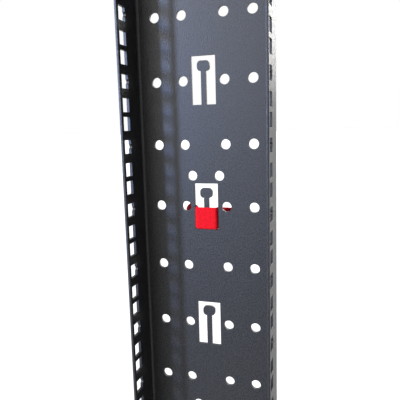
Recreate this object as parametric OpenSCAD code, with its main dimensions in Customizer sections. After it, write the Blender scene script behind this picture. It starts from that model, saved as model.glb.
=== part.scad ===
// Upright of a two post open frame rack: one bent sheet steel channel with square
// cage-nut holes in its flanges, round holes and cable-tie windows in its web, and a
// hook-and-loop strap on one of the window tongues. The foot stands at z = 0, the web lies
// in the plane y = 0 and the flanges point towards -Y.

/* [Height] */
// Height of the upright, in rack units
units = 12; // [6:2:44]
// Height of one rack unit
unit_h = 44.45; // [42:0.05:50]
// Plain sheet below the first unit and above the last one
end_margin = 20; // [6:0.5:60]

/* [Channel] */
// Thickness of the sheet
sheet_t = 2; // [1.5:0.1:3]
// Radius inside each bend
bend_r = 2; // [1:0.25:5]
// Width of the channel over both flanges
channel_w = 101.6; // [92:0.2:160]
// Width of a flange, from the back of the web to the free edge
flange_w = 31.75; // [26:0.25:60]
// Radius that rounds the sheet's corners along the free edges
edge_r = 0.6; // [0.2:0.1:0.7]

/* [Square holes in the flanges] */
// Side of a square hole
square_hole = 9.5; // [8:0.1:11]
// Middle of the square holes, from the flange's free edge
square_edge = 7.14; // [6.5:0.02:12]
// Distance from a unit's middle hole to the holes above and below it
square_step = 15.875; // [13:0.025:15.875]
// Radius of the notch that marks a unit's middle hole
notch_r = 1.8; // [1.4:0.1:2.5]
// How far the notch reaches past the side of the hole
notch_depth = 1.2; // [0.8:0.1:1.4]

/* [Round holes in the web] */
// Diameter of a round hole
hole_d = 7.14; // [5:0.02:9]
// Distance between the two outer columns of holes
outer_columns = 70.2; // [60:0.1:76]
// Distance between the two inner columns of holes
inner_columns = 30.2; // [28:0.1:44]
// Distance between the two tie holes above a window
tie_columns = 20; // [12:0.1:26]

/* [Windows in the web] */
// Width of a window
window_w = 17.4; // [14:0.1:19]
// Height of a window
window_h = 33.3; // [28:0.1:36]
// Width of the tongue's stem
stem_w = 3.6; // [3:0.1:5]
// Width of the tongue's head
head_w = 9; // [7:0.1:11]
// Height of the tongue's head
head_h = 7.1; // [5.5:0.1:10]
// Corner radius of the tongue's head
head_r = 2.6; // [1:0.1:2.7]
// Gap between the head and the top of the window
head_gap = 3.3; // [2:0.1:5]

/* [Cable strap] */
// Window that the strap hangs in, counted from the foot
strap_window = 3; // [1:1:3]
// Width of the strap
strap_w = 16; // [10:0.5:16]
// Thickness of the strap
strap_t = 1.6; // [1:0.1:2]
// Space between the strap and the sheet that it touches
strap_clear = 0.3; // [0.1:0.05:0.5]
// Radius of the cable loop, to the middle of the strap
loop_r = 21.5; // [18:0.5:40]
// How far the back of the loop hangs below its front
loop_drop = 10; // [4:0.5:12]
// Radius where the strap folds round the front of the stem
fold_r = 1.6; // [1.5:0.1:3]
// Radius where the strap flares out behind the web
flare_r = 3; // [2:0.1:6]
// Length of the tail that is pressed on to the outside of the loop
tail_l = 32; // [20:1:45]

/* [Hidden] */
$fn = 64;

cut = 1;                                  // how far a cutter runs past the sheet
channel_h = units * unit_h + 2 * end_margin;
back_y = sheet_t / 2;                     // back face of the web
front_y = -sheet_t / 2;                   // face of the web between the flanges
edge_y = back_y - flange_w;               // free edges of the flanges
outer_r = bend_r + sheet_t;
flat_x = channel_w / 2 - outer_r;         // where the web ends and a bend begins
window_rows = [2 : 2 : units];            // every second unit has a window
tie_rows = [2 : 4 : units];               // every second window has tie holes above it

// The strap in plan: a fold round the stem, a flare behind each side of the window and
// one arc round the cables that is tangent to both flares.
strap_z = unit_z(2 * strap_window) - window_h / 2 + strap_clear;
run_y = front_y - strap_clear - strap_t / 2;
side_x = window_w / 2 - strap_clear - strap_t / 2;
flare_y = back_y + strap_clear;
flare_a = acos((side_x + flare_r) / (flare_r + loop_r));
loop_y = flare_y + (flare_r + loop_r) * sin(flare_a);
tail_a = tail_l / (loop_r + strap_t) * 180 / PI;
near_y = run_y - strap_t;
far_y = loop_y + loop_r + 2 * strap_t;    // just behind the tail
arc_step = 6;                             // degrees from point to point along the strap

// Height of the middle of a unit
function unit_z(k) = end_margin + (k - 0.5) * unit_h;

module quarter_bend() {
    intersection() {
        difference() {
            circle(r = outer_r);
            circle(r = bend_r);
        }
        square(outer_r);
    }
}

module half_section() {
    translate([0, front_y]) square([flat_x, sheet_t]);
    translate([flat_x, back_y - outer_r]) quarter_bend();
    translate([channel_w / 2 - sheet_t, edge_y]) {
        translate([0, edge_r]) square([sheet_t, back_y - outer_r - edge_y - edge_r]);
        translate([edge_r, 0]) square([sheet_t - 2 * edge_r, 2 * edge_r]);
        for (x = [edge_r, sheet_t - edge_r]) translate([x, edge_r]) circle(r = edge_r);
    }
}

module blank_channel() {
    linear_extrude(height = channel_h) {
        half_section();
        mirror([1, 0]) half_section();
    }
}

// Each cutter reaches through both flanges
module square_holes() {
    for (k = [1 : units], step = [-1, 0, 1])
        translate([0, edge_y + square_edge, unit_z(k) + step * square_step])
            cube([channel_w + 2 * cut, square_hole, square_hole], center = true);
}

// A round notch in the web side of each unit's middle hole
module unit_notches() {
    notch_y = edge_y + square_edge + square_hole / 2 + notch_depth - notch_r;
    for (k = [1 : units])
        translate([0, notch_y, unit_z(k)]) rotate([0, 90, 0])
            cylinder(r = notch_r, h = channel_w + 2 * cut, center = true);
}

module round_hole(x, z) {
    translate([x, 0, z]) rotate([90, 0, 0])
        cylinder(d = hole_d, h = sheet_t + 2 * cut, center = true);
}

module round_holes() {
    for (side = [-1, 1]) {
        for (k = [1 : units], column = [outer_columns, inner_columns])
            round_hole(side * column / 2, unit_z(k));
        for (k = tie_rows)
            round_hole(side * tie_columns / 2, unit_z(k) + unit_h / 2);
    }
}

// Flat tongue that stands in a window, drawn with the window's middle at the origin
module tongue() {
    head_top = window_h / 2 - head_gap;
    stem_top = head_top - head_h / 2;
    translate([-stem_w / 2, -window_h / 2 - cut]) square([stem_w, stem_top + window_h / 2 + cut]);
    translate([-head_w / 2, head_top - head_h + head_r]) square([head_w, head_h - 2 * head_r]);
    translate([-head_w / 2 + head_r, head_top - head_h]) square([head_w - 2 * head_r, head_h]);
    for (x = [-1, 1], z = [head_r - head_h, -head_r])
        translate([x * (head_w / 2 - head_r), head_top + z]) circle(r = head_r);
}

module windows() {
    for (k = window_rows)
        translate([0, 0, unit_z(k)]) rotate([90, 0, 0])
            linear_extrude(height = sheet_t + 2 * cut, center = true)
                difference() {
                    square([window_w, window_h], center = true);
                    tongue();
                }
}

module upright_channel() {
    color("#3a3d42") difference() {
        blank_channel();
        square_holes();
        unit_notches();
        round_holes();
        windows();
    }
}

// Points of an arc round [x, y]
function arc(x, y, r, from, to) =
    let (steps = ceil(abs(to - from) / arc_step))
    [for (i = [0 : steps]) let (a = from + (to - from) * i / steps) [x + r * cos(a), y + r * sin(a)]];

// Closed outline at the distance out from the middle of the strap, the tail raised on it by lift
function strap_outline(out, lift) = concat(
    arc(side_x - fold_r, run_y + fold_r, fold_r + out, -90, 0),
    arc(side_x + flare_r, flare_y, flare_r - out, 180, 180 - flare_a),
    arc(0, loop_y, loop_r + out, -flare_a, 90),
    arc(0, loop_y, loop_r + out + lift, 90, 90 + tail_a),
    arc(0, loop_y, loop_r + out, 90 + tail_a, 180 + flare_a),
    arc(-side_x - flare_r, flare_y, flare_r - out, flare_a, 0),
    arc(-side_x + fold_r, run_y + fold_r, fold_r + out, 180, 270)
);

// Space that the strap fills from the side: level through the window, then hanging to the back
module strap_side() {
    rotate([90, 0, 90]) linear_extrude(height = channel_w, center = true)
        polygon([
            [near_y, 0], [flare_y, 0], [far_y, -loop_drop],
            [far_y, strap_w - loop_drop], [flare_y, strap_w], [near_y, strap_w]
        ]);
}

module cable_strap() {
    color("#e8222f") translate([0, 0, strap_z]) intersection() {
        translate([0, 0, -loop_drop - cut]) linear_extrude(height = strap_w + loop_drop + 2 * cut)
            difference() {
                polygon(strap_outline(strap_t / 2, strap_t));
                polygon(strap_outline(-strap_t / 2, 0));
            }
        strap_side();
    }
}

upright_channel();
cable_strap();
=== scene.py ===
"""Finishes, strap and studio for a two post rack upright.

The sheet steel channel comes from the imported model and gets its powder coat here. The cable
strap is modelled as one strip of hook-and-loop webbing: its inner end lies on the loop behind
the web, it runs forward through its window, round the front of the tongue's stem and back,
and its tail is pressed on to its own inner end.
"""

import math

import bpy
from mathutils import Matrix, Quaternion, Vector, noise


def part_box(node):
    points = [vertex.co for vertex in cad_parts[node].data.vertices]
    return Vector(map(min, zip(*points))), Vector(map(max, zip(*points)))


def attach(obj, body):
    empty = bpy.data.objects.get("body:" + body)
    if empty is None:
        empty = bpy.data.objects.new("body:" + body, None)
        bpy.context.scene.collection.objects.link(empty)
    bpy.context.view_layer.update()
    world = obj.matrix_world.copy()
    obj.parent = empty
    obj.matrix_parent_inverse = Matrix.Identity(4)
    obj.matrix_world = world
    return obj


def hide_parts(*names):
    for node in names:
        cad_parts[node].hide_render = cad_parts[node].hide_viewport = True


bl_info = {
    "name": "Two Post Rack Upright",
    "version": (1, 0, 0),
    "blender": (4, 5, 0),
    "location": "View3D > Sidebar > Rack",
    "description": "Powder coat, cable strap and studio for a rack upright",
    "category": "Object",
}

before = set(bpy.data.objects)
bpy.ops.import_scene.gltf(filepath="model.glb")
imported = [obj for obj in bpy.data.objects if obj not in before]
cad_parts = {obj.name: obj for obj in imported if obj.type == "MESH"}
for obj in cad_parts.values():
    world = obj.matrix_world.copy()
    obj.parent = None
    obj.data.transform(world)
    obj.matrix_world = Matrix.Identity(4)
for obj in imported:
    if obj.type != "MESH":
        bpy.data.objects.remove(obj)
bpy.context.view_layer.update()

MM = 0.001
BODY = "root"
CHANNEL_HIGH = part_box("upright_channel")[1]
STRAP_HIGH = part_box("cable_strap")[1]

# The web and the window that the strap is threaded through
SHEET = 2.0 * MM
BACK_Y = CHANNEL_HIGH.y
FRONT_Y = BACK_Y - SHEET
WINDOW_WIDTH = 17.4 * MM
WINDOW_HEIGHT = 33.3 * MM
CLEARANCE = 0.3 * MM
STRAP_WIDTH = 16 * MM
SNUG = 0.12 * MM
WINDOW_Z = STRAP_HIGH.z - STRAP_WIDTH - CLEARANCE + WINDOW_HEIGHT / 2

# Where the wide lights stand: azimuth from the front towards the left, elevation and spread
SOFT_LIGHT = (math.radians(20), math.radians(10), math.radians(56))
BACK_LIGHT = (math.radians(195), math.radians(25), math.radians(40))
DISC_SPREAD = math.radians(5)

# Colours of the lights
DAYLIGHT = (0.95, 0.97, 1.0)
SKY_BLUE = (0.32, 0.49, 1.0)
SOFT_WHITE = (1.0, 0.98, 0.96)
BACK_WHITE = (1.0, 0.99, 0.97)

# Camera: its place and its aim from the middle of the window, and its roll
CAMERA_OFFSET = Vector((102.1, -326.3, 58.0)) * MM
AIM_OFFSET = Vector((-4.8, 0, 4.6)) * MM
CAMERA_ROLL = math.radians(1.55)


# Settings -----------------------------------------------------------------------------------


class CoatSettings(bpy.types.PropertyGroup):
    """Powder coat of the channel"""

    colour: bpy.props.FloatVectorProperty(
        name="Colour",
        description="Colour of the powder coat",
        subtype="COLOR",
        size=3,
        min=0.0,
        max=1.0,
        default=(0.0132, 0.0134, 0.0146),
    )
    # The colour below is a painted highlight laid along the coat's edges.
    edge_highlight_colour: bpy.props.FloatVectorProperty(
        name="Edge Highlight Colour",
        description="Colour of the painted highlight along the edges of the coat",
        subtype="COLOR",
        size=3,
        min=0.0,
        max=1.0,
        default=(0.060, 0.062, 0.067),
    )
    roughness: bpy.props.FloatProperty(
        name="Roughness",
        description="How satin the coat is",
        min=0.1,
        max=1.0,
        default=0.44,
        subtype="FACTOR",
    )
    grain: bpy.props.FloatProperty(
        name="Grain",
        description="Distance between the bumps of the coat",
        default=0.9 * MM,
        unit="LENGTH",
    )
    edge_radius: bpy.props.FloatProperty(
        name="Edge Radius",
        description="How far the coat rounds the punched edges",
        default=0.3 * MM,
        unit="LENGTH",
    )


class StrapSettings(bpy.types.PropertyGroup):
    """Hook-and-loop strap"""

    width: bpy.props.FloatProperty(
        name="Width",
        description="Width of the strap",
        default=STRAP_WIDTH,
        unit="LENGTH",
    )
    thickness: bpy.props.FloatProperty(
        name="Thickness",
        description="Thickness of the strap through its pile",
        default=1.6 * MM,
        unit="LENGTH",
    )
    selvedge_thickness: bpy.props.FloatProperty(
        name="Selvedge Thickness",
        description="Thickness of the woven border that carries no pile",
        default=1.3 * MM,
        unit="LENGTH",
    )
    loop_radius: bpy.props.FloatProperty(
        name="Loop Radius",
        description="Radius of the cable loop, to the middle of the strap",
        default=21.5 * MM,
        unit="LENGTH",
    )
    tail: bpy.props.FloatProperty(
        name="Tail",
        description="Length of the tail that is pressed on to the outside of the loop",
        default=32 * MM,
        unit="LENGTH",
    )
    loop_drop: bpy.props.FloatProperty(
        name="Loop Drop",
        description="How far the back of the loop hangs below its front",
        default=10 * MM,
        unit="LENGTH",
    )
    pile_colour: bpy.props.FloatVectorProperty(
        name="Pile Colour",
        description="Colour of the brushed loops",
        subtype="COLOR",
        size=3,
        min=0.0,
        max=1.0,
        default=(0.90, 0.008, 0.020),
    )
    base_colour: bpy.props.FloatVectorProperty(
        name="Base Colour",
        description="Colour of the woven base between the loops",
        subtype="COLOR",
        size=3,
        min=0.0,
        max=1.0,
        default=(0.62, 0.005, 0.012),
    )


class StageSettings(bpy.types.PropertyGroup):
    """Floor, lamps and camera"""

    floor_colour: bpy.props.FloatVectorProperty(
        name="Floor Colour",
        description="Colour of the floor",
        subtype="COLOR",
        size=3,
        min=0.0,
        max=1.0,
        default=(0.55, 0.55, 0.55),
    )
    key_strength: bpy.props.FloatProperty(
        name="Key Strength",
        description="Strength of the tall light on the left, in watts per square metre",
        default=4.3,
        min=0.0,
    )
    key_azimuth: bpy.props.FloatProperty(
        name="Key Azimuth",
        description="How far to the left of the front the tall light stands",
        default=math.radians(45),
        subtype="ANGLE",
    )
    key_elevation: bpy.props.FloatProperty(
        name="Key Elevation",
        description="How high the middle of the tall light stands",
        default=math.radians(28),
        subtype="ANGLE",
    )
    sheen_strength: bpy.props.FloatProperty(
        name="Sheen Strength",
        description="Strength of the sky light that the coat mirrors, in watts per square metre",
        default=10.0,
        min=0.0,
    )
    sheen_elevation: bpy.props.FloatProperty(
        name="Sheen Elevation",
        description="How high the middle of the sky light stands",
        default=math.radians(8),
        subtype="ANGLE",
    )
    soft_strength: bpy.props.FloatProperty(
        name="Soft Strength",
        description="Strength of the wide light that the coat mirrors, in watts per square metre",
        default=3.0,
        min=0.0,
    )
    back_strength: bpy.props.FloatProperty(
        name="Back Strength",
        description="Strength of the wide light behind the post, in watts per square metre",
        default=2.6,
        min=0.0,
    )
    room_light: bpy.props.FloatProperty(
        name="Room Light",
        description="Level of the light that comes from all round",
        default=0.2,
        min=0.0,
    )
    focal_length: bpy.props.FloatProperty(
        name="Focal Length",
        description="Focal length of the camera",
        default=43.2,
        subtype="DISTANCE_CAMERA",
    )


# Materials ----------------------------------------------------------------------------------


class Nodes:
    """Adds nodes to a material or a world and links them in one line each."""

    def __init__(self, owner):
        owner.use_nodes = True
        self.tree = owner.node_tree
        self.tree.nodes.clear()

    def add(self, kind, links=None, **values):
        node = self.tree.nodes.new(kind)
        for name, value in values.items():
            setattr(node, name, value)
        for socket, source in (links or {}).items():
            if isinstance(source, bpy.types.NodeSocket):
                self.tree.links.new(source, node.inputs[socket])
            else:
                node.inputs[socket].default_value = source
        return node

    def noise(self, place, size, detail=2.0):
        node = self.add("ShaderNodeTexNoise", {"Vector": place, "Scale": 1 / size, "Detail": detail})
        return node.outputs["Fac"]

    def between(self, value, low, high, start=0.0, end=1.0):
        node = self.add("ShaderNodeMapRange", {
            "Value": value, "From Min": start, "From Max": end, "To Min": low, "To Max": high})
        return node.outputs["Result"]

    def mix(self, share, first, second):
        node = self.add("ShaderNodeMix", {"Factor": share}, data_type="RGBA")
        for socket, colour in ((node.inputs[6], first), (node.inputs[7], second)):
            if isinstance(colour, bpy.types.NodeSocket):
                self.tree.links.new(colour, socket)
            else:
                socket.default_value = (*colour, 1.0)
        return node.outputs[2]

    def math(self, operation, first, second):
        node = self.add("ShaderNodeMath", {0: first, 1: second}, operation=operation)
        return node.outputs["Value"]

    def seen_background(self):
        """One where a ray comes from the camera, a gloss or glass, and zero for plain light."""
        path = self.add("ShaderNodeLightPath").outputs
        seen = self.math("MAXIMUM", path["Is Camera Ray"], path["Is Glossy Ray"])
        return self.math("MAXIMUM", seen, path["Is Transmission Ray"])


def scaled(colour, factor):
    """The same colour, darker or lighter."""
    return [channel * factor for channel in colour]


def powder_coat(settings):
    """Satin powder coat with a fine grain whose low spots carry painted shade, faint mottling and a
    painted highlight along its edges.
    """
    material = bpy.data.materials.new("charcoal powder coat")
    nodes = Nodes(material)
    place = nodes.add("ShaderNodeTexCoord").outputs["Object"]
    mottle_size = 11 * MM
    grain_height = 0.15 * MM
    fleck_share = 0.65
    grain = nodes.noise(place, settings.grain)
    mottle = nodes.noise(place, mottle_size, detail=4.0)

    edges = nodes.add("ShaderNodeBevel", {"Radius": settings.edge_radius}, samples=4)
    flat = nodes.add("ShaderNodeNewGeometry").outputs["Normal"]
    turn = nodes.add("ShaderNodeVectorMath", {0: edges.outputs["Normal"], 1: flat},
                     operation="DOT_PRODUCT").outputs["Value"]
    # Painted highlight: the coat is lightened where its rounded edges turn away from the flat faces,
    # in patches set by the mottle.
    painted_edge_highlight = nodes.between(turn, 1.0, 0.0, start=0.8, end=0.99)
    painted_edge_highlight = nodes.math("MULTIPLY", painted_edge_highlight, nodes.between(mottle, 0.1, 0.7, start=0.35, end=0.65))

    dark, light = scaled(settings.colour, 0.88), scaled(settings.colour, 1.12)
    # The speckle follows the grain's height: its dark end is painted shade in the grain's low spots,
    # its light end lighter flecks of the coat.
    pit_shade, fleck = scaled(settings.colour, 0.12), scaled(settings.colour, 2.6)
    colour = nodes.mix(nodes.between(mottle, 0.0, 1.0, start=0.3, end=0.7), dark, light)
    grain_speckle_and_shade = nodes.mix(nodes.between(grain, 0.0, 1.0, start=0.36, end=0.66), pit_shade, fleck)
    colour = nodes.mix(fleck_share, colour, grain_speckle_and_shade)
    # Lays the painted edge highlight over the coat.
    colour = nodes.mix(painted_edge_highlight, colour, settings.edge_highlight_colour)

    bump = nodes.add("ShaderNodeBump", {
        "Height": grain, "Normal": edges.outputs["Normal"], "Strength": 0.8,
        "Distance": grain_height})
    spread = 0.1
    shader = nodes.add("ShaderNodeBsdfPrincipled", {
        "Base Color": colour,
        "Roughness": nodes.between(
            grain, settings.roughness - spread, settings.roughness + spread, start=0.3, end=0.7),
        "Normal": bump.outputs["Normal"],
        "Specular IOR Level": 0.27,
    })
    nodes.add("ShaderNodeOutputMaterial", {"Surface": shader.outputs["BSDF"]})
    return material


def loop_pile(settings):
    """Brushed loops on a woven base, with the strip's length and width read from its UV map."""
    material = bpy.data.materials.new("red loop pile")
    nodes = Nodes(material)
    place = nodes.add("ShaderNodeUVMap", uv_map="strip").outputs["UV"]
    loop_size, tuft_size, pile_depth = 0.7 * MM, 1.8 * MM, 0.35 * MM
    loops = nodes.noise(place, loop_size, detail=3.0)
    tufts = nodes.noise(place, tuft_size, detail=2.0)
    height = nodes.math("ADD", loops, nodes.math("MULTIPLY", tufts, 0.5))
    share = nodes.between(height, 0.0, 1.0, start=0.5, end=1.0)
    colour = nodes.mix(share, settings.base_colour, settings.pile_colour)
    bump = nodes.add("ShaderNodeBump", {"Height": height, "Strength": 0.8, "Distance": pile_depth})
    shader = nodes.add("ShaderNodeBsdfPrincipled", {
        "Base Color": colour, "Roughness": 0.88, "Specular IOR Level": 0.08,
        "Sheen Weight": 0.05, "Sheen Roughness": 0.45, "Normal": bump.outputs["Normal"]})
    shader.inputs["Sheen Tint"].default_value = (1.0, 0.35, 0.35, 1.0)
    nodes.add("ShaderNodeOutputMaterial", {"Surface": shader.outputs["BSDF"]})
    return material


def white_floor(settings):
    """Pale floor that shows as white and keeps the shadow."""
    material = bpy.data.materials.new("studio floor")
    nodes = Nodes(material)
    glow_level = 0.55
    glow = nodes.math("MULTIPLY", nodes.seen_background(), glow_level)
    shader = nodes.add("ShaderNodeBsdfPrincipled", {
        "Base Color": (*settings.floor_colour, 1.0), "Roughness": 0.9,
        "Emission Color": (1.0, 1.0, 1.0, 1.0), "Emission Strength": glow})
    nodes.add("ShaderNodeOutputMaterial", {"Surface": shader.outputs["BSDF"]})
    return material


# Geometry -----------------------------------------------------------------------------------


def arc(x, y, start_radius, end_radius, start, end, step=0.25 * MM):
    """Points of an arc round (x, y) whose radius may grow on its way."""
    count = max(2, math.ceil(abs(end - start) * start_radius / step))
    points = []
    for i in range(count + 1):
        share = i / count
        angle = start + (end - start) * share
        smooth = share * share * (3 - 2 * share)
        radius = start_radius + (end_radius - start_radius) * smooth
        points.append(Vector((x + radius * math.cos(angle), y + radius * math.sin(angle))))
    return points


def strap_plan(settings):
    """Measures of the loop from above: where it flares behind the web, its middle and its turn."""
    flare = 3.0 * MM
    side_x = WINDOW_WIDTH / 2 - SNUG - settings.thickness / 2
    flare_y = BACK_Y + CLEARANCE
    turn = math.acos((side_x + flare) / (flare + settings.loop_radius))
    loop_y = flare_y + (flare + settings.loop_radius) * math.sin(turn)
    return flare, side_x, flare_y, turn, loop_y


def strap_route(settings):
    """Middle line of the strap from above: inner end, right side, front, left side, tail."""
    flare, side_x, flare_y, turn, loop_y = strap_plan(settings)
    fold = 1.6 * MM
    loop = settings.loop_radius
    outer = loop + settings.thickness
    run_y = FRONT_Y - CLEARANCE - settings.thickness / 2
    quarter = math.pi / 2
    inner_end = quarter + settings.tail / outer
    step_up = 14 * MM / loop
    past_end = inner_end + 0.02
    return [
        *arc(0, loop_y, loop, loop, inner_end, -turn),
        *arc(side_x + flare, flare_y, flare, flare, math.pi - turn, math.pi),
        *arc(side_x - fold, run_y + fold, fold, fold, 0, -quarter),
        *arc(-side_x + fold, run_y + fold, fold, fold, -quarter, -2 * quarter),
        *arc(-side_x - flare, flare_y, flare, flare, 0, turn),
        *arc(0, loop_y, loop, loop, math.pi + turn, inner_end + step_up),
        *arc(0, loop_y, loop, outer, inner_end + step_up, past_end),
        *arc(0, loop_y, outer, outer, past_end, quarter),
    ]


def evenly(points, step):
    """The same line with its points a step apart."""
    lengths = [0.0]
    for a, b in zip(points, points[1:]):
        lengths.append(lengths[-1] + (b - a).length)
    count = round(lengths[-1] / step)
    line, k = [], 0
    for i in range(count + 1):
        target = lengths[-1] * i / count
        while k < len(points) - 2 and lengths[k + 1] < target:
            k += 1
        gap = lengths[k + 1] - lengths[k]
        share = (target - lengths[k]) / gap if gap > 0 else 0.0
        line.append(points[k].lerp(points[k + 1], min(1.0, share)))
    return line, lengths[-1]


def end_inset(to_end):
    """How much an edge draws in so that the strip's corners are round."""
    corner = 4.0 * MM
    return corner - math.sqrt(corner**2 - max(0.0, corner - to_end) ** 2)


def skin_height(settings, from_edge, side, place):
    """Height of the skin over the strip's middle: pile outside, low hooks inside, thin edges."""
    border = 1.0 * MM
    edge_round = 0.3 * MM
    tuft_height, tuft_size = 0.07 * MM, 1.3 * MM
    pile = min(1.0, max(0.0, (from_edge - border * 0.5) / (border * 0.6)))
    share = pile if side == 1 else 0.5 * pile
    thick = settings.selvedge_thickness + share * (settings.thickness - settings.selvedge_thickness)
    rounding = min(1.0, from_edge / edge_round)
    thick *= 0.1 + 0.9 * math.sqrt(1 - (1 - rounding) ** 2)
    return thick / 2 + tuft_height * pile * noise.noise(place / tuft_size)


def strap_mesh(settings):
    """The strip as a closed skin, level through its window and hanging towards the back."""
    step = 0.5 * MM
    lift_height, lift_middle, lift_length = 2.6 * MM, 20 * MM, 7 * MM
    line, length = evenly(strap_route(settings), step)
    flare_y, loop_y = strap_plan(settings)[2], strap_plan(settings)[4]
    far_y = loop_y + settings.loop_radius + 2 * settings.thickness
    slope = settings.loop_drop / (far_y - flare_y)
    middle_z = STRAP_HIGH.z - settings.width / 2 - (CLEARANCE - SNUG)
    rows = 32
    front = next(i for i, p in enumerate(line) if p.x <= 0 and p.y < FRONT_Y)
    vertices, coordinates, rings = [], [], []
    for i, point in enumerate(line):
        before, after = line[max(0, i - 1)], line[min(len(line) - 1, i + 1)]
        along = (after - before).normalized()
        outward = Vector((-along.y, along.x))
        travelled = length * i / (len(line) - 1)
        half_width = settings.width / 2 - end_inset(min(travelled, length - travelled))
        past_front = travelled - length * front / (len(line) - 1)
        lift = lift_height * math.exp(-((past_front - lift_middle) / lift_length) ** 2)
        ring = []
        for side in (1, -1):
            for j in range(rows + 1):
                across = side * half_width * (2 * j / rows - 1)
                from_edge = max(0.0, half_width - abs(across))
                place = Vector((travelled, across, side * settings.width))
                x, y = point + outward * side * skin_height(settings, from_edge, side, place)
                z = middle_z + across + lift - slope * max(0.0, y - flare_y)
                ring.append(len(vertices))
                vertices.append((x, y, z))
                coordinates.append((travelled, across + (0 if side == 1 else 3 * settings.width)))
        rings.append(ring)
    faces = []
    size = len(rings[0])
    for a, b in zip(rings, rings[1:]):
        for j in range(size):
            k = (j + 1) % size
            faces.append((a[j], a[k], b[k], b[j]))
    for ring, first in ((rings[0], True), (rings[-1], False)):
        for j in range(size // 2 - 1):
            quad = (ring[j], ring[j + 1], ring[size - 2 - j], ring[size - 1 - j])
            faces.append(quad if first else tuple(reversed(quad)))
    mesh = bpy.data.meshes.new("strap")
    mesh.from_pydata(vertices, [], faces)
    layer = mesh.uv_layers.new(name="strip")
    for corner in mesh.loops:
        layer.data[corner.index].uv = coordinates[corner.vertex_index]
    mesh.validate()
    return mesh, length


# Operators ----------------------------------------------------------------------------------


class RACK_OT_coat_upright(bpy.types.Operator):
    """Give the channel its powder coat"""

    bl_idname = "rack.coat_upright"
    bl_label = "Coat Upright"

    def execute(self, context):
        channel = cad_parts["upright_channel"]
        channel.data.materials.clear()
        channel.data.materials.append(powder_coat(context.scene.rack_coat))
        return {"FINISHED"}


class RACK_OT_add_strap(bpy.types.Operator):
    """Thread the strap through its window"""

    bl_idname = "rack.add_strap"
    bl_label = "Add Strap"

    def execute(self, context):
        settings = context.scene.rack_strap
        bpy.ops.object.select_all(action="DESELECT")
        mesh, length = strap_mesh(settings)
        strap = bpy.data.objects.new("strap", mesh)
        context.scene.collection.objects.link(strap)
        context.view_layer.objects.active = strap
        strap.select_set(True)
        bpy.ops.object.mode_set(mode="EDIT")
        bpy.ops.mesh.select_all(action="SELECT")
        bpy.ops.mesh.normals_make_consistent(inside=False)
        bpy.ops.object.mode_set(mode="OBJECT")
        bpy.ops.object.shade_smooth()
        mesh.materials.append(loop_pile(settings))
        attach(strap, BODY)
        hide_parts("cable_strap")
        return {"FINISHED"}


class RACK_OT_build_stage(bpy.types.Operator):
    """Add the floor, the lamps, the world and the camera"""

    bl_idname = "rack.build_stage"
    bl_label = "Build Stage"

    def execute(self, context):
        settings = context.scene.rack_stage
        bpy.ops.object.select_all(action="DESELECT")
        bpy.ops.mesh.primitive_plane_add(size=40)
        floor = context.object
        floor.name = "floor"
        floor.data.materials.append(white_floor(settings))
        add_lights(settings)
        context.scene.world = studio_world(settings)
        context.scene.camera = add_camera(settings)
        context.scene.view_settings.view_transform = "Standard"
        return {"FINISHED"}


def add_disc_light(name, azimuth, elevation, spread, strength, colour, gloss_only=False):
    """A far disc of light, its azimuth counted from the front towards the left."""
    towards = Vector((-math.sin(azimuth), -math.cos(azimuth), math.tan(elevation)))
    bpy.ops.object.light_add(type="SUN", location=towards)
    lamp = bpy.context.object
    lamp.name = name
    lamp.rotation_euler = (-towards).to_track_quat("-Z", "Y").to_euler()
    lamp.data.energy = strength
    lamp.data.angle = spread
    lamp.data.color = colour
    lamp.visible_diffuse = not gloss_only


def add_tall_light(name, azimuth, elevation, strength, *finish):
    """A tall narrow light, made of three discs one above the other."""
    for i in (-1, 0, 1):
        add_disc_light(f"{name} {i + 2}", azimuth, elevation + i * DISC_SPREAD, DISC_SPREAD,
                       strength / 3, *finish)


def add_lights(settings):
    """A tall light on the left, two lights that only a gloss shows, and a light from behind."""
    add_tall_light("key light", settings.key_azimuth, settings.key_elevation,
                   settings.key_strength, DAYLIGHT)
    add_tall_light("sky light", settings.key_azimuth, settings.sheen_elevation,
                   settings.sheen_strength, SKY_BLUE, True)
    add_disc_light("soft light", *SOFT_LIGHT, settings.soft_strength, SOFT_WHITE, True)
    add_disc_light("back light", *BACK_LIGHT, settings.back_strength, BACK_WHITE)


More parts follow.
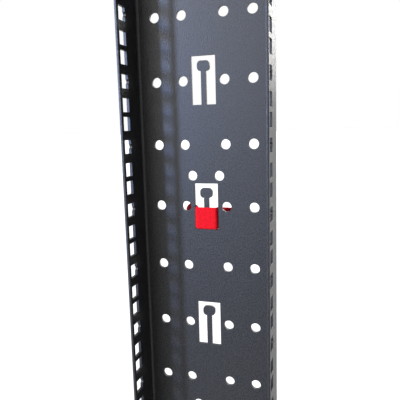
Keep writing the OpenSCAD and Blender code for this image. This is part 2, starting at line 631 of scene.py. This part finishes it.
def studio_world(settings):
    """White where it is seen, and a low even light on the object."""
    world = bpy.data.worlds.new("studio")
    nodes = Nodes(world)
    level = nodes.between(nodes.seen_background(), settings.room_light, 1.0)
    background = nodes.add("ShaderNodeBackground", {
        "Color": (1.0, 1.0, 1.0, 1.0), "Strength": level})
    nodes.add("ShaderNodeOutputWorld", {"Surface": background.outputs["Background"]})
    return world


def add_camera(settings):
    """The camera stands to the right of the window, above it and close to the post."""
    window = Vector((0, FRONT_Y, WINDOW_Z))
    place = window + CAMERA_OFFSET
    aim = window + AIM_OFFSET
    bpy.ops.object.camera_add(location=place)
    camera = bpy.context.object
    camera.name = "camera"
    camera.rotation_mode = "QUATERNION"
    turn = (aim - place).to_track_quat("-Z", "Y")
    camera.rotation_quaternion = turn @ Quaternion((0, 0, 1), -CAMERA_ROLL)
    camera.data.lens = settings.focal_length
    camera.data.sensor_width = 36.0
    camera.data.clip_start = 0.01
    return camera


class RACK_PT_panel(bpy.types.Panel):
    """Buttons that build the rack upright"""

    bl_label = "Rack Upright"
    bl_idname = "RACK_PT_panel"
    bl_space_type = "VIEW_3D"
    bl_region_type = "UI"
    bl_category = "Rack"

    def draw(self, context):
        for operator in OPERATORS:
            self.layout.operator(operator.bl_idname)


OPERATORS = (RACK_OT_coat_upright, RACK_OT_add_strap, RACK_OT_build_stage)
GROUPS = {
    "rack_coat": CoatSettings,
    "rack_strap": StrapSettings,
    "rack_stage": StageSettings,
}


def register():
    for cls in (*GROUPS.values(), *OPERATORS, RACK_PT_panel):
        bpy.utils.register_class(cls)
    for name, group in GROUPS.items():
        setattr(bpy.types.Scene, name, bpy.props.PointerProperty(type=group))


def unregister():
    for name in GROUPS:
        delattr(bpy.types.Scene, name)
    for cls in reversed((*GROUPS.values(), *OPERATORS, RACK_PT_panel)):
        bpy.utils.unregister_class(cls)


def main():
    register()
    bpy.ops.rack.coat_upright()
    bpy.ops.rack.add_strap()
    bpy.ops.rack.build_stage()


if __name__ == "__main__":
    main()
